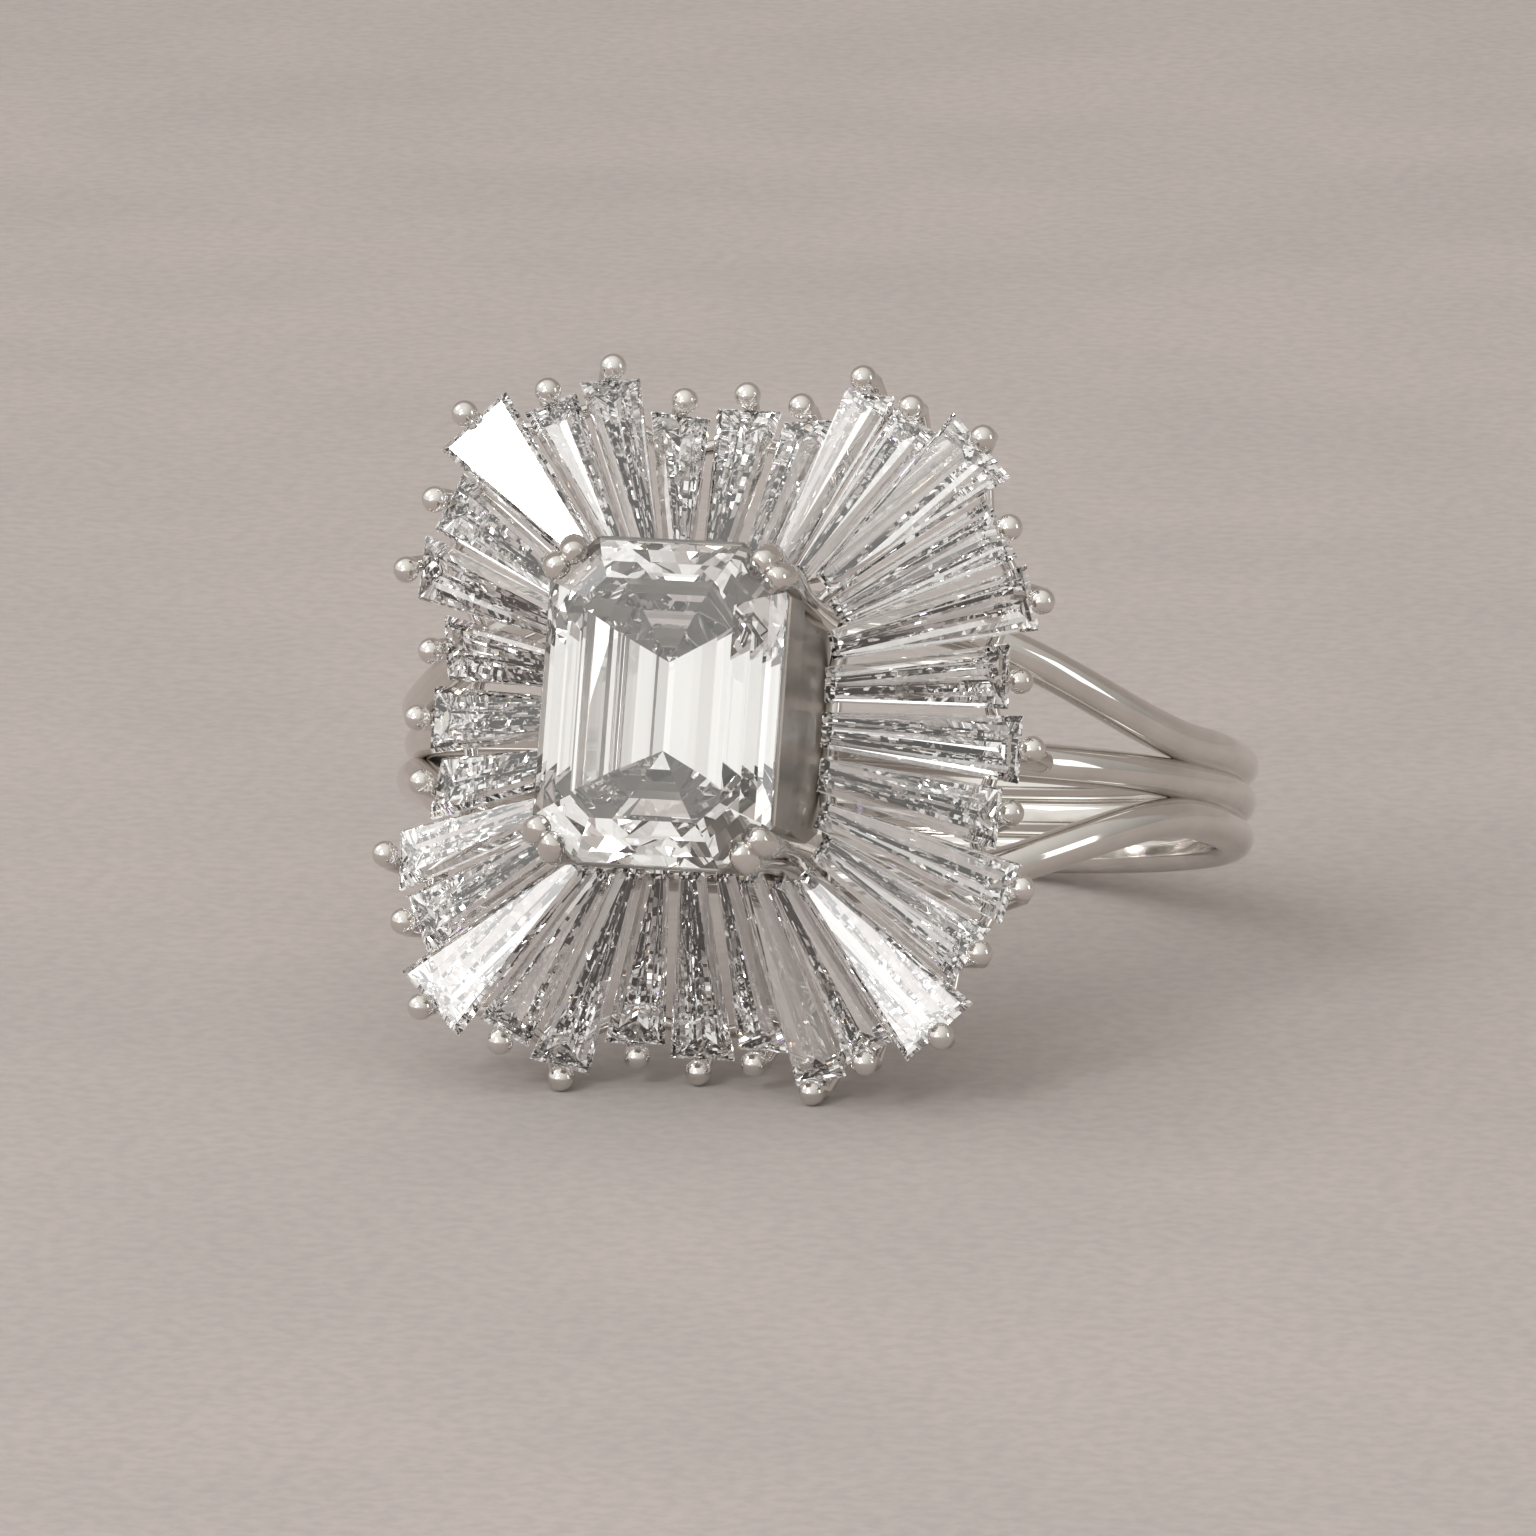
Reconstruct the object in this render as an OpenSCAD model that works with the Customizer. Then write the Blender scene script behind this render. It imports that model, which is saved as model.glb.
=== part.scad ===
// Ballerina ring: an emerald-cut centre stone in a high claw basket, with a flared and waved
// skirt of 32 tapered baguettes, on a shank of three round wires. All sizes are millimetres.
//
// The ring is laid out with X across the head, Y from the head into the finger and Z along the
// finger. The bead prongs of the four corner baguettes lie in the plane Y = 0. The whole ring is
// then laid on its side: it rests on two beads of the skirt and on the back of the shank.

/* [Shank] */
// Inside diameter of the ring
finger_d = 17.3; // [16.9:0.1:18.1]
// Diameter of each of the three wires
wire_d = 0.88; // [0.8:0.02:0.96]
// Depth of the flat that the finger hole leaves inside each wire
wire_flat = 0.06; // [0.05:0.01:0.12]
// Distance from the corner beads to the centre of the finger
head_rise = 12.8; // [12.7:0.1:13.4]
// How far each outer wire stands from the middle one under the head
wire_spread = 2.9; // [2.7:0.1:3]
// Where the outer wires begin to leave the head and where they meet the middle one, in degrees
splay_from = 18; // [14:1:24]
splay_to = 74; // [70:1:90]
// Sideways set of the wires at the back of the ring
shank_shift = 0.19; // [0:0.01:0.3]

/* [Centre stone] */
// Width over the girdle
stone_w = 5.15; // [5.05:0.05:5.2]
// Length over the girdle
stone_l = 7.0; // [6.9:0.05:7.1]
// Cut corner, measured along each side
stone_corner = 1.0; // [0.9:0.05:1.1]
// Height of the girdle in front of the corner beads
stone_rise = 3.87; // [3.8:0.01:4]
// Thickness of the girdle
girdle_h = 0.12; // [0.08:0.01:0.16]

/* [Baguettes] */
// Thickness of the girdle
baguette_girdle = 0.08; // [0.06:0.01:0.1]
// Depth of the pavilion at the outer end
baguette_pavilion = 0.6; // [0.5:0.02:0.64]

/* [Prongs and claws] */
// Diameter of the bead at the outer end of each baguette
bead_d = 0.58; // [0.5:0.02:0.6]
// Diameter of the prong behind each bead
prong_d = 0.34; // [0.3:0.02:0.36]
// Diameter of the centre stone's claws
claw_d = 0.56; // [0.5:0.02:0.6]
// Clear gap between stone and metal
seat_gap = 0.03; // [0.02:0.01:0.05]

/* [Hidden] */
FIRST = 1;
LAST = 32;
function two_digits(k) = str(k < 10 ? "0" : "", k);
$fn = 96;

finger_r = finger_d / 2;
wire_r = wire_d / 2;
wire_path_r = finger_r + wire_r - wire_flat;
wire_pitch = wire_d - 0.08;
// The outer wires stand this much clear of the finger hole until they have met the middle one
wire_lift = wire_flat + 0.06;
lift_to = splay_to + 16;
bead_r = bead_d / 2;
prong_r = prong_d / 2;
claw_r = claw_d / 2;

// Where a bead's centre lies beyond the baguette's outer end and above its girdle
bead_out = 0.12;
bead_up = 0.38;
// Heights on the bead, in degrees from its middle, at which its skin has a ring
bead_rings = [-20, 20, 58];

// One quarter of the skirt: inner end [x, y, z], bead centre [x, y, z], outer and inner width.
// Inner ends are given at the height of the bead, so the two points give the baguette's slope.
corner_seat = [[2.45, -0.32, 3.12], [5.70, 0.00, 6.40], 1.88, 0.50];
top_seats = [
    [[1.83, -0.28, 3.38], [4.00, 0.40, 7.02], 1.20, 0.43],
    [[1.18, -0.26, 3.34], [2.76, 1.05, 7.68], 1.34, 0.47],
    [[0.60, -0.24, 3.34], [1.29, 1.74, 7.09], 1.30, 0.50],
    [[0.00, -0.24, 3.34], [0.00, 2.10, 7.32], 1.40, 0.54]
];
side_seats = [
    [[2.86, -0.30, 2.42], [6.32, 0.40, 4.56], 1.42, 0.62],
    [[2.84, -0.28, 1.66], [7.00, 1.06, 3.08], 1.48, 0.64],
    [[2.84, -0.26, 0.83], [6.50, 1.76, 1.42], 1.44, 0.76],
    [[2.84, -0.26, 0.00], [6.79, 2.14, 0.00], 1.46, 0.76]
];

// Steps of a baguette from the girdle: [inset, height]
baguette_crown = [[0.07, 0.11], [0.15, 0.19]];
baguette_step = [0.09, 0.14];
keel_from_inner = 0.3;
keel_from_outer = 0.5;

// Steps of the centre stone from the girdle: [inset, height, cut corner as a share of the girdle's]
crown_steps = [[0.28, 0.30, 0.84], [0.58, 0.54, 0.66], [0.95, 0.75, 0.46]];
pavilion_steps = [[0.30, 0.46, 0.92], [0.80, 1.02, 0.76], [1.50, 1.66, 0.50]];
keel_inset = 2.56;
keel_depth = 2.44;

// Gallery under the skirt. Depths are under the girdle; the prongs start just beyond the outer end
// and run in under the skirt, by this share of their depth.
prong_out = 0.24;
prong_lean = 0.53;
prong_down = 1.06;
prong_foot_r = 0.22;
rail_down = 0.88;
rail_r = 0.16;
strut_r = 0.13;
post_down = 0.8;
inner_rail_in = 0.45;
inner_rail_down = 0.72;
inner_rail_r = 0.19;
// Where a strut meets the lower wall, [x, y, z]: at a corner, an end and a side
corner_foot = [1.93, 0.58, 2.48];
end_foot = [0, 0.58, 2.88];
side_foot = [2.33, 0.58, 0];

// Basket: [half width, half length, cut corner] outside, wall thickness and where each wall runs
upper_wall = [2.60, 3.38, 0.95];
lower_wall = [2.50, 3.05, 0.90];
wall_t = 0.34;
upper_wall_y = [-3.62, -2.22];
lower_wall_y = [-2.06, 0.95];

// Path of one claw, from the wires up to the tip: [x, y, z] for the side claw and the end claw
side_claw = [
    [2.05, 4.05, 2.52], [2.22, 0.75, 2.58], [2.34, -1.20, 2.66], [2.49, -3.00, 2.80],
    [2.51, -3.77, 2.85], [2.42, -4.06, 2.80], [2.34, -4.24, 2.74], [2.29, -4.34, 2.70]
];
end_claw = [
    [1.70, 3.95, 2.80], [1.84, 0.75, 2.92], [1.94, -1.20, 3.02], [2.08, -3.00, 3.18],
    [2.13, -3.77, 3.23], [2.08, -4.06, 3.14], [2.02, -4.24, 3.06], [1.97, -4.34, 3.01]
];
// Thickness of a claw at each point of its path, as a share of the claw's size
claw_taper = [0.8, 0.8, 0.82, 0.95, 1.06, 1.08, 0.92, 0.55];

// Vectors

function unit(v) = v / norm(v);
function flip(v, s) = [v.x * s.x, v.y * s.y, v.z * s.z];
function in_turn(k) = (k - FIRST + LAST) % LAST + FIRST;

// Seats, numbered clockwise from the top left corner as the head is looked at

function along_edge(k) = (in_turn(k) - FIRST) % 8;
function edge_of(k) = floor((in_turn(k) - FIRST) / 8);
function seat_row(k) =
    let (step = min(along_edge(k), 8 - along_edge(k)))
    step == 0 ? corner_seat : edge_of(k) % 2 == 0 ? top_seats[step - 1] : side_seats[step - 1];
function seat_side(k) =
    let (half = along_edge(k) < 4 ? 1 : -1, e = edge_of(k))
    e == 0 ? [-half, 1, 1] : e == 1 ? [1, 1, half] : e == 2 ? [half, 1, -1] : [-1, 1, -half];
function seat_inner(k) = flip(seat_row(k)[0], seat_side(k));
function seat_bead(k) = flip(seat_row(k)[1], seat_side(k));
function seat_width(k) = seat_row(k)[2];
function seat_inner_w(k) = seat_row(k)[3];
function seat_length(k) = norm(seat_bead(k) - seat_inner(k)) - bead_out;

// Each seat's own directions: out along the baguette, across it, and up from its face
function seat_out(k) = unit(seat_bead(k) - seat_inner(k));
function seat_across(k) =
    let (rim = seat_bead(k + 1) - seat_bead(k - 1), out = seat_out(k))
    unit(rim - (rim * out) * out);
function seat_up(k) = cross(seat_across(k), seat_out(k));

// A point at a distance out from the inner end, across from the centre line and up from the girdle
function on_seat(k, out, across, up) =
    seat_inner(k) + out * seat_out(k) + across * seat_across(k) + (up - bead_up) * seat_up(k);

// Faceted and swept solids

// Faces of a skin that joins rings of n points, each ring after the last
function skin_faces(rings, n, closed = false) = [
    for (i = [0:rings - (closed ? 1 : 2)], j = [0:n - 1])
        [i * n + j, ((i + 1) % rings) * n + j, ((i + 1) % rings) * n + (j + 1) % n, i * n + (j + 1) % n]
];

function flat(lists) = [for (list = lists, item = list) item];

module skin(rings, closed = false) {
    n = len(rings[0]);
    last = len(rings) * n - 1;
    ends = closed ? [] : [[for (j = [0:n - 1]) j], [for (j = [0:n - 1]) last - j]];
    polyhedron(flat(rings), concat(ends, skin_faces(len(rings), n, closed)));
}

// A stone of flat rings that ends in a keel of two points, each ring point joined to its own end
module cut_stone(rings, keel, ends) {
    n = len(rings[0]);
    base = (len(rings) - 1) * n;
    tip = base + n;
    keel_faces = [
        for (j = [0:n - 1])
            let (a = ends[j], b = ends[(j + 1) % n])
            a == b ? [base + j, tip + a, base + (j + 1) % n]
                : [base + j, tip + a, tip + b, base + (j + 1) % n]
    ];
    table = [for (j = [0:n - 1]) j];
    polyhedron(concat(flat(rings), keel), concat([table], skin_faces(len(rings), n), keel_faces));
}

// One ring of a round bar around a point of its path
function tube_ring(at, along, aside, r, sides) =
    let (u = unit(cross(along, aside)), v = cross(unit(along), u))
    [for (s = [0:sides - 1]) at + r * (cos(360 * s / sides) * u + sin(360 * s / sides) * v)];

// The direction of a path at one of its points
function heading(path, i, closed) =
    let (n = len(path))
    closed ? path[(i + 1) % n] - path[(i + n - 1) % n] : path[min(i + 1, n - 1)] - path[max(i - 1, 0)];

module tube(path, r, sides, aside = [0, 1, 0], closed = false)
    skin(
        [for (i = [0:len(path) - 1]) tube_ring(path[i], heading(path, i, closed), aside, r, sides)],
        closed
    );

// Centre stone

function octagon(half_w, half_l, cut) = [
    [half_w - cut, half_l], [half_w, half_l - cut], [half_w, cut - half_l], [half_w - cut, -half_l],
    [cut - half_w, -half_l], [-half_w, cut - half_l], [-half_w, half_l - cut], [cut - half_w, half_l]
];

// One ring of the stone, drawn larger by grow for the seat that is cut in the metal
function stone_ring(inset, up, corner_share, grow) = [
    for (p = octagon(
        stone_w / 2 - inset + grow, stone_l / 2 - inset + grow, stone_corner * corner_share
    ))
        [p.x, -stone_rise - up, p.y]
];

module centre_stone_solid(grow = 0) {
    half = girdle_h / 2;
    rings = concat(
        [for (i = [2:-1:0]) let (s = crown_steps[i]) stone_ring(s[0], half + s[1] + grow, s[2], grow)],
        [stone_ring(0, half + grow, 1, grow), stone_ring(0, -half, 1, grow)],
        [for (s = pavilion_steps) stone_ring(s[0], -half - s[1], s[2], grow)]
    );
    keel_y = -stone_rise + half + keel_depth + grow;
    keel = [for (side = [1, -1]) [0, keel_y, side * (stone_l / 2 - keel_inset)]];
    cut_stone(rings, keel, [0, 0, 1, 1, 1, 1, 0, 0]);
}

module centre_stone() color("aliceblue") centre_stone_solid();

// Baguettes

function half_width(k, out) =
    (seat_inner_w(k) + (seat_width(k) - seat_inner_w(k)) * out / seat_length(k)) / 2;

// A ring whose sides stay parallel to the girdle's
function baguette_ring(k, inset, up) =
    let (
        length = seat_length(k),
        taper = atan((seat_width(k) - seat_inner_w(k)) / 2 / length),
        narrow = half_width(k, inset) - inset / cos(taper),
        wide = half_width(k, length - inset) - inset / cos(taper)
    )
    [
        on_seat(k, inset, -narrow, up), on_seat(k, length - inset, -wide, up),
        on_seat(k, length - inset, wide, up), on_seat(k, inset, narrow, up)
    ];

// The keel falls towards the wide end, so that the sides of the pavilion stay flat
function keel_point(k, out) =
    let (
        step = baguette_step,
        fall = (baguette_pavilion - step[1]) / (half_width(k, seat_length(k)) - step[0])
    )
    on_seat(k, out, 0, -baguette_girdle - step[1] - fall * (half_width(k, out) - step[0]));

module baguette(k) {
    c = baguette_crown;
    rings = [
        baguette_ring(k, c[1][0], c[1][1]), baguette_ring(k, c[0][0], c[0][1]),
        baguette_ring(k, 0, 0), baguette_ring(k, 0, -baguette_girdle),
        baguette_ring(k, baguette_step[0], -baguette_girdle - baguette_step[1])
    ];
    keel = [keel_point(k, keel_from_inner), keel_point(k, seat_length(k) - keel_from_outer)];
    color("ghostwhite") cut_stone(rings, keel, [0, 1, 1, 0]);
}

// Basket and claws

module basket_wall(size, y) {
    translate([0, y[1], 0])
        rotate([90, 0, 0])
            linear_extrude(y[1] - y[0])
                difference() {
                    polygon(octagon(size[0], size[1], size[2]));
                    polygon(octagon(size[0] - wall_t, size[1] - wall_t, size[2] * 0.86));
                }
}

module claw(path)
    skin([
        for (i = [0:len(path) - 1])
            tube_ring(path[i], heading(path, i, false), [0.6, 0, -0.8], claw_r * claw_taper[i], 6)
    ]);

module claws() {
    for (x = [0, 1], z = [0, 1])
        mirror([x, 0, 0])
            mirror([0, 0, z]) {
                claw(side_claw);
                claw(end_claw);
            }
}

// Posts under the basket that stand on the middle wire
module basket_posts() {
    for (x = [-1, 1])
        tube([[x * 2.28, 0.6, 0], [x * 2.28, 4.05, 0]], 0.27, 8, aside = [1, 0, 0.4]);
}

module basket() {
    basket_wall(upper_wall, upper_wall_y);
    basket_wall(lower_wall, lower_wall_y);
    claws();
    basket_posts();
}

// Skirt gallery

// A point on the axis of a prong; up is zero or less
function on_prong(k, up) = on_seat(k, seat_length(k) + prong_out + prong_lean * up, 0, up);

// A prong that runs up the end of its baguette, leans in over it and ends in a bead
module prong(k) {
    up = seat_up(k);
    skin(concat(
        [
            tube_ring(on_prong(k, -prong_down), up, seat_out(k), prong_foot_r, 10),
            tube_ring(on_prong(k, 0), up, seat_out(k), prong_r, 10)
        ],
        [for (a = bead_rings)
            tube_ring(seat_bead(k) + bead_r * sin(a) * up, up, seat_out(k), bead_r * cos(a), 10)]
    ));
}

// A strut from a prong in to the basket's lower wall
module strut(k) {
    foot = along_edge(k) == 0 ? corner_foot : edge_of(k) % 2 == 0 ? end_foot : side_foot;
    tube([on_prong(k, -rail_down), flip(foot, seat_side(k))], strut_r, 6, aside = seat_across(k));
}

module skirt_gallery() {
    seats = [for (k = [FIRST:LAST]) k];
    tube([for (k = seats) on_prong(k, -rail_down)], rail_r, 6, closed = true);
    tube([for (k = seats) on_seat(k, inner_rail_in, 0, -inner_rail_down)], inner_rail_r, 6, closed = true);
    for (k = seats) prong(k);
    for (k = seats) if (k % 4 == 1) strut(k);
    shoulder_posts();
}

// A short post on each side, from the middle prong back to the middle wire
module shoulder_posts() {
    for (k = [13, 29]) {
        foot = wire_point(0, 44 * sign(seat_bead(k).x));
        tube([on_prong(k, -post_down), foot], 0.25, 8, aside = [0.3, 0, 1]);
    }
}

// Shank

// Smooth share of the way from one angle, 0, to another, 1
function share_between(angle, from, to) =
    let (t = (min(max(abs(angle), from), to) - from) / (to - from))
    (1 - cos(180 * t)) / 2;

// A point of a wire: lane is -1, 0 or 1, and the angle runs from the head around the finger
function wire_point(lane, angle) =
    let (
        b = share_between(angle, splay_from, splay_to),
        spread = wire_spread + (wire_pitch - wire_spread) * b,
        r = wire_path_r + abs(lane) * wire_lift * (1 - share_between(angle, splay_to, lift_to))
    )
    [r * sin(angle), head_rise - r * cos(angle), lane * spread + shank_shift * b];

module wire(lane) {
    turn = 10;
    tube([for (a = [-180:turn:180 - turn]) wire_point(lane, a)], wire_r, 10, [0, 0, 1], true);
}

// Ring frame: all the soldered metal

module ring_frame() {
    color("silver")
        difference() {
            minkowski() {
                difference() {
                    union() {
                        basket();
                        skirt_gallery();
                        for (lane = [-1:1]) wire(lane);
                    }
                    centre_stone_solid(seat_gap);
                }
            }
            translate([0, head_rise, -stone_l]) cylinder(r = finger_r, h = 2 * stone_l);
        }
}

// The ring at rest on its side

contact_bead = top_seats[1][1];
contact_wire = [head_rise + wire_path_r, shank_shift - wire_pitch];
rest_run = contact_wire[0] - contact_bead.y;
rest_fall = contact_wire[1] + contact_bead.z;
rest_tilt = atan2(rest_fall, rest_run) - asin((wire_r - bead_r) / norm([rest_run, rest_fall]));
rest_up = bead_r + contact_bead.y * sin(rest_tilt) + contact_bead.z * cos(rest_tilt);
table_up = girdle_h / 2 + crown_steps[2][1];
table_end = stone_l / 2 - crown_steps[2][0];
rest_front = -(stone_rise + table_up) * cos(rest_tilt) - table_end * sin(rest_tilt);
rest_back = contact_wire[0] * cos(rest_tilt) + (wire_pitch + shank_shift) * sin(rest_tilt) + wire_r;

module at_rest()
    translate([0, -(rest_front + rest_back) / 2, rest_up])
        rotate([-rest_tilt, 0, 0])
            children();

at_rest() ring_frame();
at_rest() centre_stone();
for (k = [FIRST:LAST])
    at_rest() baguette(k);
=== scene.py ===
"""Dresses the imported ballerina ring: smooth polished metal, clear stones, a paper sweep and soft light."""

import math

import bpy
from mathutils import Matrix, Vector

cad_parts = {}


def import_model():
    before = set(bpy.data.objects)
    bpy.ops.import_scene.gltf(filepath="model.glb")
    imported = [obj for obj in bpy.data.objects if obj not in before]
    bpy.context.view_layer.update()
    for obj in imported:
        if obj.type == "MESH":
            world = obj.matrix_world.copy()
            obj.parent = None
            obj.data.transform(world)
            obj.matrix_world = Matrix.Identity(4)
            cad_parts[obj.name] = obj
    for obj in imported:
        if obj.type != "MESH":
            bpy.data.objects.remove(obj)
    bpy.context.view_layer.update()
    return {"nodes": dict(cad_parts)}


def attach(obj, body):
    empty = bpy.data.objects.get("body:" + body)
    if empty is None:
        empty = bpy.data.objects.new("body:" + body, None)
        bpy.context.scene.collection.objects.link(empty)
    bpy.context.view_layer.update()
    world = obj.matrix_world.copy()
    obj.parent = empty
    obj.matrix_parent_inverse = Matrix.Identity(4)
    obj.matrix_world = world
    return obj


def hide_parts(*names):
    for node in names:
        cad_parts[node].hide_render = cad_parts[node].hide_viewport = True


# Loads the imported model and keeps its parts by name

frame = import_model()

MM = 0.001
FIRST = 1
LAST = 32
PER_EDGE = 8

# Shank, in millimetres, in the ring's own frame: X across the head, Y into the finger, Z along it

FINGER_R = 8.65
WIRE_R = 0.44
WIRE_FLAT = 0.06
WIRE_PATH_R = FINGER_R + WIRE_R - WIRE_FLAT
WIRE_LIFT = 0.12
WIRE_PITCH = 0.80
WIRE_SPREAD = 2.9
SPLAY = (18, 74)
LIFT = (74, 90)
SHANK_SHIFT = 0.19
HEAD_RISE = 12.8

# Seats of one quarter of the skirt: inner end and bead centre

CORNER_SEAT = ((2.45, -0.32, 3.12), (5.70, 0.00, 6.40))
TOP_SEATS = (
    ((1.83, -0.28, 3.38), (4.00, 0.40, 7.02)),
    ((1.18, -0.26, 3.34), (2.76, 1.05, 7.68)),
    ((0.60, -0.24, 3.34), (1.29, 1.74, 7.09)),
    ((0.00, -0.24, 3.34), (0.00, 2.10, 7.32)),
)
SIDE_SEATS = (
    ((2.86, -0.30, 2.42), (6.32, 0.40, 4.56)),
    ((2.84, -0.28, 1.66), (7.00, 1.06, 3.08)),
    ((2.84, -0.26, 0.83), (6.50, 1.76, 1.42)),
    ((2.84, -0.26, 0.00), (6.79, 2.14, 0.00)),
)
BEAD_OUT = 0.12
BEAD_UP = 0.38
BEAD_R = 0.29
PRONG_R = 0.17
PRONG_FOOT_R = 0.22
PRONG_OUT = 0.24
PRONG_LEAN = 0.53
PRONG_DOWN = 1.06
RAIL_DOWN = 0.88
RAIL_R = 0.16
STRUT_R = 0.13
POST_DOWN = 0.8
POST_R = 0.25
POST_FOOT_ANGLE = 44
INNER_RAIL_IN = 0.45
INNER_RAIL_DOWN = 0.72
INNER_RAIL_R = 0.19
CORNER_FOOT = (1.93, 0.58, 2.48)
END_FOOT = (0, 0.58, 2.88)
SIDE_FOOT = (2.33, 0.58, 0)
STRUT_EVERY = 4
SIDE_MIDDLES = (13, 29)

# Centre stone: where its girdle and table lie

STONE_RISE = 3.87
HALF_GIRDLE = 0.06
CROWN_H = 0.75
STONE_HALF_L = 3.5
TABLE_INSET = 0.95

# Basket and claws: a wall is half its width, half its length and its cut corner, and each row of a
# profile is how far in it is and how high

WALL_T = 0.34
CORNER_LOSS = 0.14
UPPER_WALL = (2.60, 3.38, 0.95)
UPPER_PROFILE = (
    (0.02, -2.22), (0, -2.24), (0, -3.58), (0.03, -3.62), (0.13, -3.62), (WALL_T, -3.35), (WALL_T, -2.22),
)
LOWER_WALL = (2.50, 3.05, 0.90)
LOWER_PROFILE = ((0.02, 0.95), (WALL_T, 0.95), (WALL_T, -2.06), (0.02, -2.06), (0, -2.04), (0, 0.93))
BASKET_POST_X = 2.28
BASKET_POST_Y = (0.6, 4.05)
BASKET_POST_R = 0.27
CLAW_R = 0.28
SIDE_CLAW = (
    (2.05, 4.05, 2.52), (2.22, 0.75, 2.58), (2.34, -1.20, 2.66), (2.49, -3.00, 2.80),
    (2.51, -3.77, 2.85), (2.42, -4.06, 2.80), (2.34, -4.24, 2.74), (2.29, -4.34, 2.70),
)
END_CLAW = (
    (1.70, 3.95, 2.80), (1.84, 0.75, 2.92), (1.94, -1.20, 3.02), (2.08, -3.00, 3.18),
    (2.13, -3.77, 3.23), (2.08, -4.06, 3.14), (2.02, -4.24, 3.06), (1.97, -4.34, 3.01),
)
CLAW_TAPER = (0.8, 0.8, 0.82, 0.95, 1.06, 1.08, 0.92, 0.55)


def flip(point, side):
    """The point mirrored by a sign for each axis."""
    return Vector(a * b for a, b in zip(point, side))


class Seat:
    """One baguette's place in the skirt, numbered clockwise from the top left corner."""

    def __init__(self, number):
        self.along = (number - FIRST) % PER_EDGE
        self.edge = (number - FIRST) // PER_EDGE
        step = min(self.along, PER_EDGE - self.along)
        row = CORNER_SEAT if step == 0 else (SIDE_SEATS if self.edge % 2 else TOP_SEATS)[step - 1]
        half = 1 if self.along < PER_EDGE / 2 else -1
        self.side = ((-half, 1, 1), (1, 1, half), (half, 1, -1), (-1, 1, -half))[self.edge]
        self.inner = flip(row[0], self.side)
        self.bead = flip(row[1], self.side)
        self.length = (self.bead - self.inner).length - BEAD_OUT

    def aim(self, before, after):
        """Sets the directions out along the stone, across it and up from its face."""
        rim = after.bead - before.bead
        self.out = (self.bead - self.inner).normalized()
        self.across = (rim - rim.dot(self.out) * self.out).normalized()
        self.up = self.across.cross(self.out)

    def at(self, out, across, up):
        """A point measured from the inner end at the girdle."""
        return self.inner + out * self.out + across * self.across + (up - BEAD_UP) * self.up

    def on_prong(self, up):
        """A point on the axis of the prong; up is zero or less."""
        return self.at(self.length + PRONG_OUT + PRONG_LEAN * up, 0, up)


SEATS = {k: Seat(k) for k in range(FIRST, LAST + 1)}
for k, seat in SEATS.items():
    seat.aim(SEATS[(k - 2) % LAST + 1], SEATS[k % LAST + 1])


# The ring at rest on its side

CONTACT_BEAD = TOP_SEATS[1][1]
CONTACT_WIRE = (HEAD_RISE + WIRE_PATH_R, SHANK_SHIFT - WIRE_PITCH)
REST_RUN = CONTACT_WIRE[0] - CONTACT_BEAD[1]
REST_FALL = CONTACT_WIRE[1] + CONTACT_BEAD[2]
REST_LENGTH = math.hypot(REST_RUN, REST_FALL)
REST_TILT = math.atan2(REST_FALL, REST_RUN) - math.asin((WIRE_R - BEAD_R) / REST_LENGTH)
REST_UP = BEAD_R + CONTACT_BEAD[1] * math.sin(REST_TILT) + CONTACT_BEAD[2] * math.cos(REST_TILT)
TABLE_RISE = STONE_RISE + HALF_GIRDLE + CROWN_H
TABLE_END = STONE_HALF_L - TABLE_INSET
REST_FRONT = -TABLE_RISE * math.cos(REST_TILT) - TABLE_END * math.sin(REST_TILT)
REST_BACK = (
    CONTACT_WIRE[0] * math.cos(REST_TILT) + (WIRE_PITCH + SHANK_SHIFT) * math.sin(REST_TILT) + WIRE_R
)
TILT = Matrix.Rotation(-REST_TILT, 4, "X")
AT_REST = Matrix.Scale(MM, 4) @ Matrix.Translation((0, -(REST_FRONT + REST_BACK) / 2, REST_UP)) @ TILT
HEAD = AT_REST @ Vector((0, 0, 0))


# Mesh making


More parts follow.
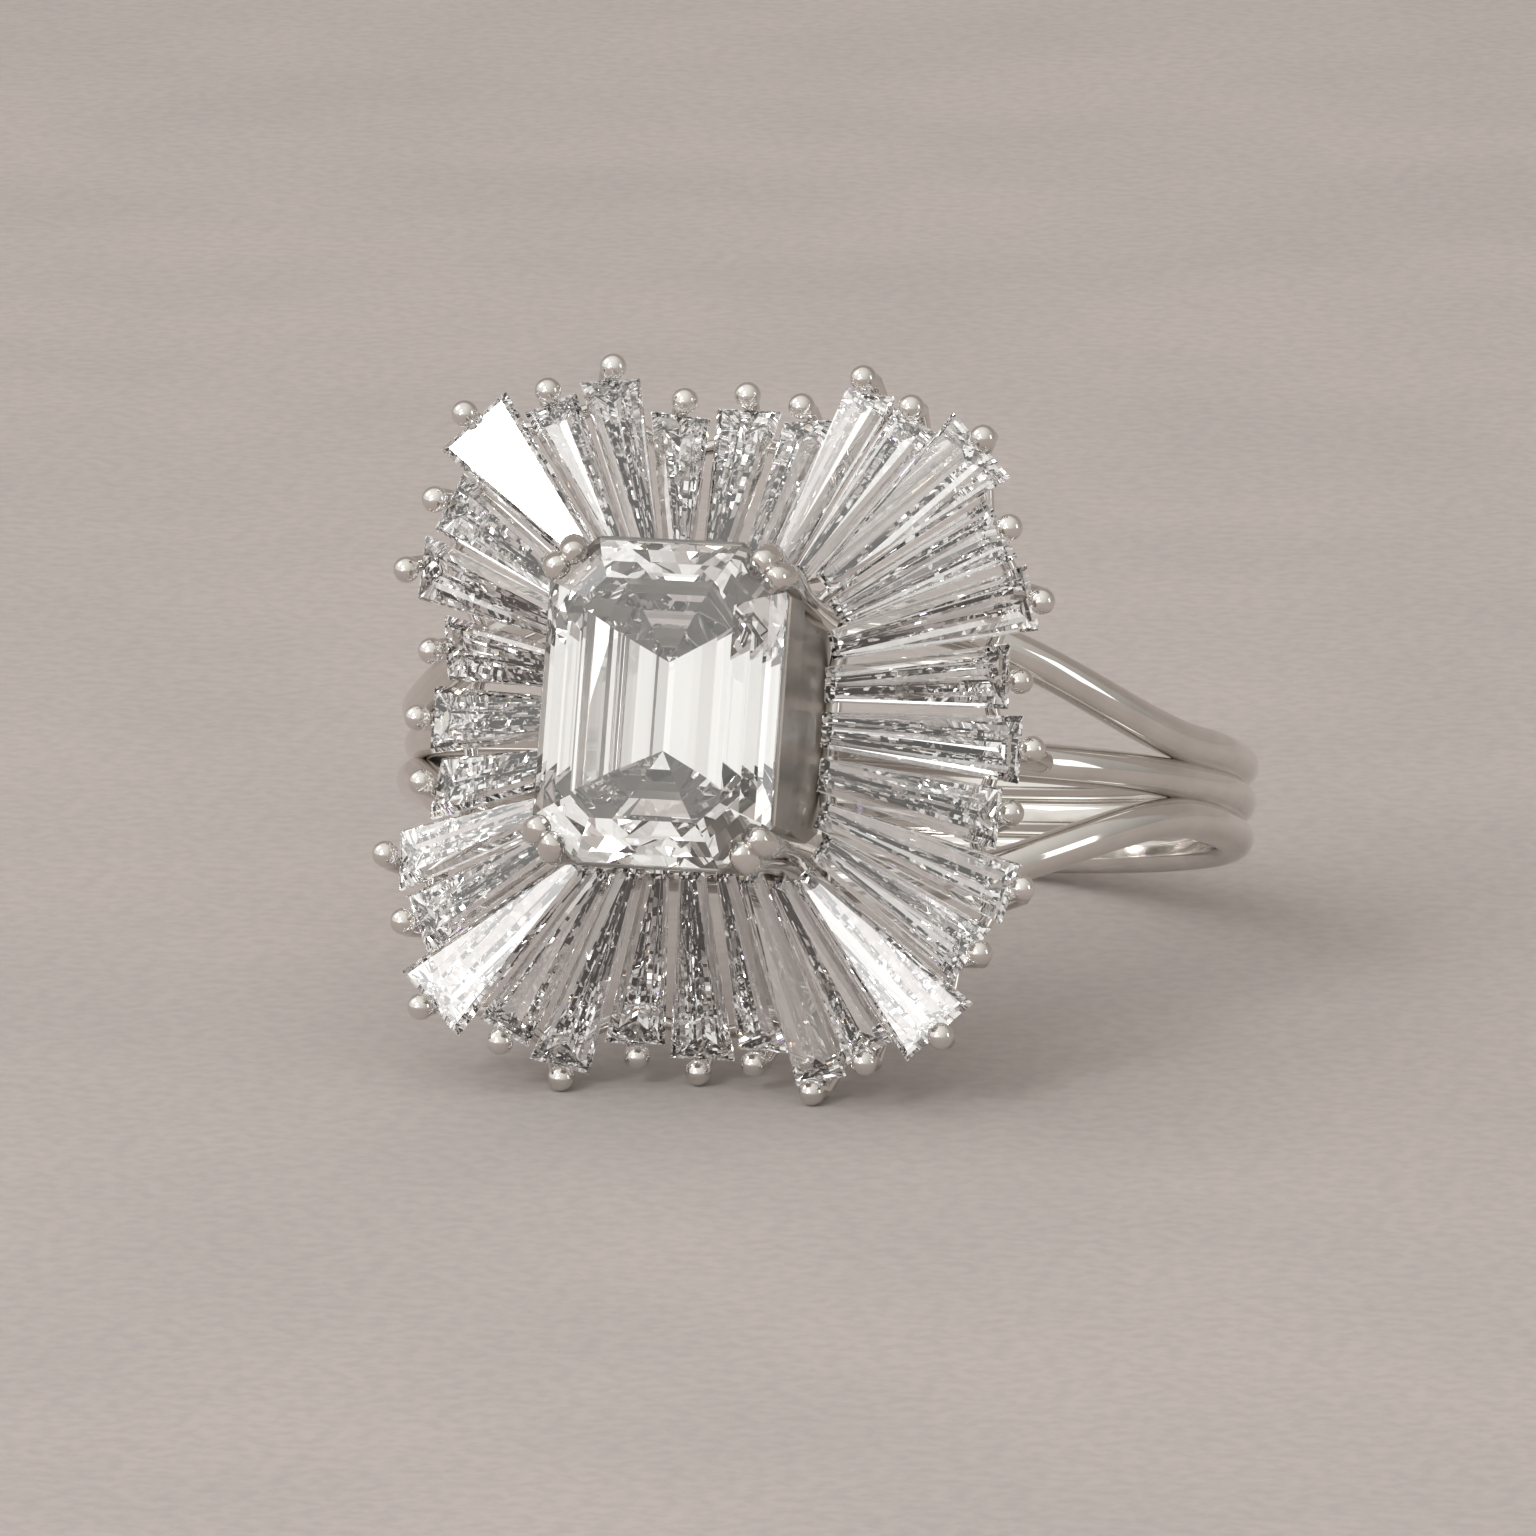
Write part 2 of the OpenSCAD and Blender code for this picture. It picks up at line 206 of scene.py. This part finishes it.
class Shell:
    """Collects the points and faces of one piece, in the ring's own frame."""

    def __init__(self):
        self.points = []
        self.faces = []

    def rings(self, rings, closed=False):
        """Joins rings of points into a skin, with flat ends unless it is closed."""
        start = len(self.points)
        n = len(rings[0])
        for ring in rings:
            self.points.extend(ring)
        count = len(rings)
        for i in range(count if closed else count - 1):
            a, b = start + i * n, start + (i + 1) % count * n
            for j in range(n):
                self.faces.append((a + j, a + (j + 1) % n, b + (j + 1) % n, b + j))
        if not closed:
            self.faces.append(tuple(start + j for j in reversed(range(n))))
            self.faces.append(tuple(start + (count - 1) * n + j for j in range(n)))

    def tube(self, path, radii, sides, aside, closed=False):
        """A round bar along a path, with a radius for each point."""
        count = len(path)
        rings = []
        for i, at in enumerate(path):
            ahead = path[(i + 1) % count] if closed else path[min(i + 1, count - 1)]
            behind = path[i - 1] if closed else path[max(i - 1, 0)]
            rings.append(circle(at, ahead - behind, aside, radii[i], sides))
        self.rings(rings, closed)

    def piece(self, name, material, smooth_angle=40):
        """Makes the object, laid at rest, and lets it ride on the ring."""
        mesh = bpy.data.meshes.new(name)
        mesh.from_pydata([AT_REST @ Vector(p) for p in self.points], [], self.faces)
        mesh.materials.append(material)
        mesh.polygons.foreach_set("use_smooth", [True] * len(mesh.polygons))
        mesh.set_sharp_from_angle(angle=math.radians(smooth_angle))
        thing = bpy.data.objects.new(name, mesh)
        bpy.context.scene.collection.objects.link(thing)
        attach(thing, "root")
        return thing


def circle(at, along, aside, radius, sides):
    """One ring of points around a path."""
    u = along.cross(Vector(aside)).normalized()
    v = along.normalized().cross(u)
    turn = 2 * math.pi / sides
    return [at + radius * (math.cos(s * turn) * u + math.sin(s * turn) * v) for s in range(sides)]


def curve(points, steps, closed=False):
    """A smooth path through the points, as (place along the list, point) pairs."""
    points = [Vector(p) for p in points]
    count = len(points)
    out = []
    for i in range(count if closed else count - 1):
        four = [
            points[(i + d) % count] if closed else points[min(max(i + d, 0), count - 1)]
            for d in (-1, 0, 1, 2)
        ]
        for s in range(steps):
            t = s / steps
            out.append((i + t, catmull_rom(four, t)))
    if not closed:
        out.append((count - 1, points[-1]))
    return out


def catmull_rom(p, t):
    """A point on the smooth curve from p[1] to p[2]."""
    return 0.5 * (
        2 * p[1]
        + (p[2] - p[0]) * t
        + (2 * p[0] - 5 * p[1] + 4 * p[2] - p[3]) * t**2
        + (3 * p[1] - p[0] - 3 * p[2] + p[3]) * t**3
    )


def between(values, place):
    """The value at a place along a list."""
    i = min(int(place), len(values) - 2)
    return values[i] + (values[i + 1] - values[i]) * (place - i)


# Materials


def new_material(name):
    """A new material, with its nodes and links."""
    made = bpy.data.materials.new(name)
    made.use_nodes = True
    return made, made.node_tree.nodes, made.node_tree.links


def white_gold(name, low, high, rough_from, rough_to, grain):
    """White gold whose polish and tone drift a little; grain is the depth of its marks in millimetres."""
    made, nodes, links = new_material(name)
    shader = nodes["Principled BSDF"]
    shader.inputs["Metallic"].default_value = 1.0
    place = nodes.new("ShaderNodeTexCoord")
    noise = nodes.new("ShaderNodeTexNoise")
    noise.inputs["Scale"].default_value = 900
    noise.inputs["Detail"].default_value = 5
    links.new(place.outputs["Object"], noise.inputs["Vector"])
    tint = nodes.new("ShaderNodeValToRGB")
    tint.color_ramp.elements[0].position = 0.3
    tint.color_ramp.elements[0].color = low
    tint.color_ramp.elements[1].position = 0.7
    tint.color_ramp.elements[1].color = high
    links.new(noise.outputs["Fac"], tint.inputs["Fac"])
    links.new(tint.outputs["Color"], shader.inputs["Base Color"])
    rough = nodes.new("ShaderNodeMapRange")
    rough.inputs["To Min"].default_value = rough_from
    rough.inputs["To Max"].default_value = rough_to
    links.new(noise.outputs["Fac"], rough.inputs["Value"])
    links.new(rough.outputs["Result"], shader.inputs["Roughness"])
    bump = nodes.new("ShaderNodeBump")
    bump.inputs["Strength"].default_value = 0.4
    bump.inputs["Distance"].default_value = grain * MM
    links.new(noise.outputs["Fac"], bump.inputs["Height"])
    links.new(bump.outputs["Normal"], shader.inputs["Normal"])
    return made


def diamond(name, low, high):
    """Clear cut stone, with a faint tint that drifts through it."""
    made, nodes, links = new_material(name)
    shader = nodes["Principled BSDF"]
    shader.inputs["Transmission Weight"].default_value = 1.0
    shader.inputs["IOR"].default_value = 2.417
    shader.inputs["Roughness"].default_value = 0.0
    place = nodes.new("ShaderNodeTexCoord")
    noise = nodes.new("ShaderNodeTexNoise")
    noise.inputs["Scale"].default_value = 350
    links.new(place.outputs["Object"], noise.inputs["Vector"])
    tint = nodes.new("ShaderNodeValToRGB")
    tint.color_ramp.elements[0].color = low
    tint.color_ramp.elements[1].color = high
    links.new(noise.outputs["Fac"], tint.inputs["Fac"])
    links.new(tint.outputs["Color"], shader.inputs["Base Color"])
    return made


def paper():
    """Warm grey paper with a fine mottle and broad, faint clouds."""
    made, nodes, links = new_material("warm_grey_paper")
    shader = nodes["Principled BSDF"]
    shader.inputs["Roughness"].default_value = 0.9
    shader.inputs["Specular IOR Level"].default_value = 0.2
    place = nodes.new("ShaderNodeTexCoord")
    colour = None
    for scale, low, high in (
        (90, (0.515, 0.470, 0.450, 1), (0.550, 0.500, 0.475, 1)),
        (2600, (0.90, 0.90, 0.92, 1), (1.0, 1.0, 1.0, 1)),
    ):
        noise = nodes.new("ShaderNodeTexNoise")
        noise.inputs["Scale"].default_value = scale
        noise.inputs["Detail"].default_value = 4
        links.new(place.outputs["Object"], noise.inputs["Vector"])
        tint = nodes.new("ShaderNodeValToRGB")
        tint.color_ramp.elements[0].position = 0.35
        tint.color_ramp.elements[0].color = low
        tint.color_ramp.elements[1].position = 0.62
        tint.color_ramp.elements[1].color = high
        links.new(noise.outputs["Fac"], tint.inputs["Fac"])
        if colour is None:
            colour = tint.outputs["Color"]
            continue
        blend = nodes.new("ShaderNodeMix")
        blend.data_type = "RGBA"
        blend.blend_type = "MULTIPLY"
        blend.inputs["Factor"].default_value = 1.0
        links.new(colour, blend.inputs["A"])
        links.new(tint.outputs["Color"], blend.inputs["B"])
        colour = blend.outputs["Result"]
    links.new(colour, shader.inputs["Base Color"])
    return made


POLISHED = white_gold("polished_white_gold", (0.70, 0.68, 0.65, 1), (0.80, 0.78, 0.755, 1), 0.04, 0.12, 0.004)
# The basket's white gold is rougher, and its colour is darkened into painted shade for its place under the
# stone.
ROUGH_GOLD_PAINTED_SHADE = white_gold("rough_white_gold_painted_shade", (0.42, 0.39, 0.355, 1), (0.62, 0.59, 0.55, 1), 0.22, 0.42, 0.02)
CENTRE_DIAMOND = diamond("centre_diamond", (0.95, 0.955, 0.96, 1), (0.99, 0.99, 0.985, 1))
BAGUETTE_DIAMOND = diamond("baguette_diamond", (0.96, 0.965, 0.98, 1), (0.99, 0.99, 0.99, 1))


# Shank wires


def share_between(angle, ends):
    """Smooth share of the way from one angle, 0, to another, 1."""
    share = (min(max(abs(angle), ends[0]), ends[1]) - ends[0]) / (ends[1] - ends[0])
    return (1 - math.cos(math.pi * share)) / 2


def wire_point(lane, angle):
    """A point of a wire's centre line; the angle runs from the head around the finger."""
    back = share_between(angle, SPLAY)
    reach = WIRE_PATH_R + abs(lane) * WIRE_LIFT * (1 - share_between(angle, LIFT))
    turn = math.radians(angle)
    return Vector(
        (
            reach * math.sin(turn),
            HEAD_RISE - reach * math.cos(turn),
            lane * (WIRE_SPREAD + (WIRE_PITCH - WIRE_SPREAD) * back) + SHANK_SHIFT * back,
        )
    )


def flatten_inside(point):
    """Moves a point out to the finger hole if it lies inside it."""
    reach = math.hypot(point.x, point.y - HEAD_RISE)
    if reach >= FINGER_R:
        return point
    share = FINGER_R / reach
    return Vector((point.x * share, HEAD_RISE + (point.y - HEAD_RISE) * share, point.z))


def shank():
    """Three round wires, open under the head and side by side at the back."""
    shell = Shell()
    rings = 240
    for lane in (-1, 0, 1):
        path = [wire_point(lane, 360 * i / rings - 180) for i in range(rings)]
        shell.tube(path, [WIRE_R] * rings, 28, (0, 0, 1), closed=True)
    shell.points = [flatten_inside(p) for p in shell.points]
    return shell.piece("shank_wires", POLISHED)


# Basket


def octagon(half_w, half_l, cut):
    """The corners of an octagon, in order."""
    return (
        (half_w - cut, half_l), (half_w, half_l - cut), (half_w, cut - half_l), (half_w - cut, -half_l),
        (cut - half_w, -half_l), (-half_w, cut - half_l), (-half_w, half_l - cut), (cut - half_w, half_l),
    )


def wall(shell, size, profile):
    """A wall around the basket, whose cut corners are a little smaller inside."""
    rings = []
    for inset, y in profile:
        corner = size[2] * (1 - CORNER_LOSS * inset / WALL_T)
        rings.append([Vector((x, y, z)) for x, z in octagon(size[0] - inset, size[1] - inset, corner)])
    shell.rings(rings, closed=True)


def basket():
    """The two walls that carry the stone, and the two posts."""
    shell = Shell()
    wall(shell, UPPER_WALL, UPPER_PROFILE)
    wall(shell, LOWER_WALL, LOWER_PROFILE)
    for x in (-1, 1):
        post = [Vector((x * BASKET_POST_X, y, 0)) for y in BASKET_POST_Y]
        shell.tube(post, [BASKET_POST_R] * 2, 24, (1, 0, 0))
    # The walls and posts take the rougher gold, whose darker colour is painted shade under the stone.
    return shell.piece("basket_walls", ROUGH_GOLD_PAINTED_SHADE, 30)


def claws():
    """Eight claws with rounded tips, in four pairs."""
    shell = Shell()
    for x in (-1, 1):
        for z in (-1, 1):
            for claw in (SIDE_CLAW, END_CLAW):
                path = curve([flip(p, (x, 1, z)) for p in claw], 6)
                radii = [CLAW_R * between(CLAW_TAPER, place) for place, _ in path]
                shell.tube([p for _, p in path], radii, 20, (0.6, 0, -0.8))
    return shell.piece("claws", POLISHED, 60)


# Skirt gallery


def prongs():
    """The 32 prongs, each with a round bead over the end of its baguette."""
    shell = Shell()
    sides = 20
    for seat in SEATS.values():
        rings = [
            circle(seat.on_prong(-PRONG_DOWN), seat.up, seat.out, PRONG_FOOT_R, sides),
            circle(seat.on_prong(0), seat.up, seat.out, PRONG_R, sides),
        ]
        for degrees in range(-24, 90, 12):
            lift, reach = math.sin(math.radians(degrees)), math.cos(math.radians(degrees))
            middle = seat.bead + BEAD_R * lift * seat.up
            rings.append(circle(middle, seat.up, seat.out, BEAD_R * reach, sides))
        shell.rings(rings)
    return shell.piece("bead_prongs", POLISHED, 60)


def gallery():
    """The rails under the skirt, the struts between them and the two shoulder posts."""
    shell = Shell()
    up = (0, 1, 0)
    outer = [p for _, p in curve([s.on_prong(-RAIL_DOWN) for s in SEATS.values()], 5, True)]
    shell.tube(outer, [RAIL_R] * len(outer), 14, up, closed=True)
    line = [s.at(INNER_RAIL_IN, 0, -INNER_RAIL_DOWN) for s in SEATS.values()]
    inner = [p for _, p in curve(line, 5, True)]
    shell.tube(inner, [INNER_RAIL_R] * len(inner), 14, up, closed=True)
    for k in range(FIRST, LAST + 1, STRUT_EVERY):
        seat = SEATS[k]
        foot = CORNER_FOOT if seat.along == 0 else SIDE_FOOT if seat.edge % 2 else END_FOOT
        strut = [seat.on_prong(-RAIL_DOWN), flip(foot, seat.side)]
        shell.tube(strut, [STRUT_R] * 2, 14, tuple(seat.across))
    for k in SIDE_MIDDLES:
        seat = SEATS[k]
        foot = wire_point(0, math.copysign(POST_FOOT_ANGLE, seat.bead.x))
        shell.tube([seat.on_prong(-POST_DOWN), foot], [POST_R] * 2, 20, (0.3, 0, 1))
    return shell.piece("skirt_gallery", POLISHED, 50)


for part in (shank(), basket(), claws(), prongs(), gallery()):
    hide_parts("ring_frame")


# Stones keep their solids and get their finish

for name, thing in frame["nodes"].items():
    if name == "centre_stone":
        stone = CENTRE_DIAMOND
    elif name.startswith("baguette"):
        stone = BAGUETTE_DIAMOND
    else:
        continue
    thing.data.materials.clear()
    thing.data.materials.append(stone)
    thing.data.polygons.foreach_set("use_smooth", [False] * len(thing.data.polygons))


# Paper sweep, lights and camera

# The view that was fitted on the beads and the shank in the photograph, in degrees and millimetres

VIEW_TURN = 13.54
VIEW_FALL = 12.43
FITTED_TILT = 18.04
VIEW_DISTANCE = 320
VIEW_WIDTH = 32.79
VIEW_SHIFT = (1.424, -0.961)
SENSOR_WIDTH = 36

# Lights: name, azimuth, elevation, distance, size, power and colour

WHITE = (1, 1, 1)
LIGHTS = (
    ("key", -25, 33, 0.45, (0.09, 0.10), 0.40, WHITE),
    ("front", -13, 15.5, 0.50, (0.20, 0.05), 0.075, WHITE),
    ("left", -80, 40, 0.45, (0.20, 0.25), 0.18, WHITE),
    ("amber_card", -25, 3, 0.15, (0.020, 0.012), 0.004, (1.0, 0.62, 0.28)),
    ("violet_card", -33, 7, 0.15, (0.016, 0.016), 0.004, (0.70, 0.42, 1.0)),
    ("right", 84, 12, 0.45, (0.12, 0.20), 0.10, WHITE),
)


def sweep():
    """Floor and back in one bent sheet."""
    half, front, bend, radius, top = 1.2, -1.2, 0.35, 0.3, 1.2
    steps = 16
    profile = [(front, 0.0), (bend, 0.0)]
    for i in range(1, steps + 1):
        turn = math.pi / 2 * i / steps
        profile.append((bend + radius * math.sin(turn), radius - radius * math.cos(turn)))
    profile.append((bend + radius, top))
    points = [(x, y, z) for y, z in profile for x in (-half, half)]
    faces = [(2 * i, 2 * i + 1, 2 * i + 3, 2 * i + 2) for i in range(len(profile) - 1)]
    mesh = bpy.data.meshes.new("paper_sweep")
    mesh.from_pydata(points, [], faces)
    mesh.materials.append(paper())
    mesh.polygons.foreach_set("use_smooth", [True] * len(mesh.polygons))
    thing = bpy.data.objects.new("paper_sweep", mesh)
    bpy.context.scene.collection.objects.link(thing)


def softbox(name, azimuth, elevation, distance, size, power, colour):
    """A square soft light that looks at the head; azimuth 0 stands behind the camera."""
    a, e = math.radians(azimuth), math.radians(elevation)
    back = Vector((math.sin(a) * math.cos(e), -math.cos(a) * math.cos(e), math.sin(e)))
    light = bpy.data.lights.new(name, "AREA")
    light.shape = "RECTANGLE"
    light.size, light.size_y = size
    light.energy = power
    light.color = colour
    lamp = bpy.data.objects.new(name, light)
    lamp.location = HEAD + back * distance
    lamp.rotation_mode = "QUATERNION"
    lamp.rotation_quaternion = (-back).to_track_quat("-Z", "Y")
    bpy.context.scene.collection.objects.link(lamp)


def world():
    """Pale light from all round, brightest from the upper left in front."""
    made = bpy.data.worlds.new("studio")
    made.use_nodes = True
    nodes, links = made.node_tree.nodes, made.node_tree.links
    place = nodes.new("ShaderNodeTexCoord")
    toward = nodes.new("ShaderNodeVectorMath")
    toward.operation = "DOT_PRODUCT"
    toward.inputs[1].default_value = Vector((-0.45, -0.55, 0.70)).normalized()
    links.new(place.outputs["Generated"], toward.inputs[0])
    spread = nodes.new("ShaderNodeMapRange")
    spread.inputs["From Min"].default_value = -1
    links.new(toward.outputs["Value"], spread.inputs["Value"])
    tint = nodes.new("ShaderNodeValToRGB")
    tint.color_ramp.elements[0].color = (0.24, 0.225, 0.21, 1)
    tint.color_ramp.elements[1].color = (1.10, 1.08, 1.04, 1)
    middle = tint.color_ramp.elements.new(0.55)
    middle.color = (0.60, 0.575, 0.54, 1)
    links.new(spread.outputs["Result"], tint.inputs["Fac"])
    links.new(tint.outputs["Color"], nodes["Background"].inputs["Color"])
    nodes["Background"].inputs["Strength"].default_value = 1.0
    bpy.context.scene.world = made


def camera():
    """Looks at the head as the photograph does, turned with the ring to the tilt that it rests at."""
    turn, fall = math.radians(VIEW_TURN), math.radians(VIEW_FALL)
    ahead = Vector((-math.sin(turn) * math.cos(fall), math.cos(turn) * math.cos(fall), -math.sin(fall)))
    right = Vector((math.cos(turn), math.sin(turn), 0))
    up = right.cross(ahead)
    fix = Matrix.Rotation(math.radians(FITTED_TILT) - REST_TILT, 3, "X")
    ahead, right, up = fix @ ahead, fix @ right, fix @ up
    middle = HEAD + (VIEW_SHIFT[0] * right + VIEW_SHIFT[1] * up) * MM
    place = HEAD - ahead * VIEW_DISTANCE * MM
    lens = bpy.data.cameras.new("camera")
    lens.sensor_width = SENSOR_WIDTH
    lens.lens = SENSOR_WIDTH * VIEW_DISTANCE / VIEW_WIDTH
    lens.clip_start = 0.01
    lens.clip_end = 10
    view = (middle - place).normalized()
    side = view.cross(up).normalized()
    basis = Matrix((side, side.cross(view), -view)).transposed()
    made = bpy.data.objects.new("camera", lens)
    made.matrix_world = Matrix.Translation(place) @ basis.to_4x4()
    bpy.context.scene.collection.objects.link(made)
    bpy.context.scene.camera = made


sweep()
world()
for light in LIGHTS:
    softbox(*light)
camera()

scene = bpy.context.scene
scene.view_settings.view_transform = "Standard"
scene.cycles.max_bounces = 20
scene.cycles.transmission_bounces = 16
scene.cycles.glossy_bounces = 12
scene.cycles.transparent_max_bounces = 8
scene.cycles.use_denoising = True
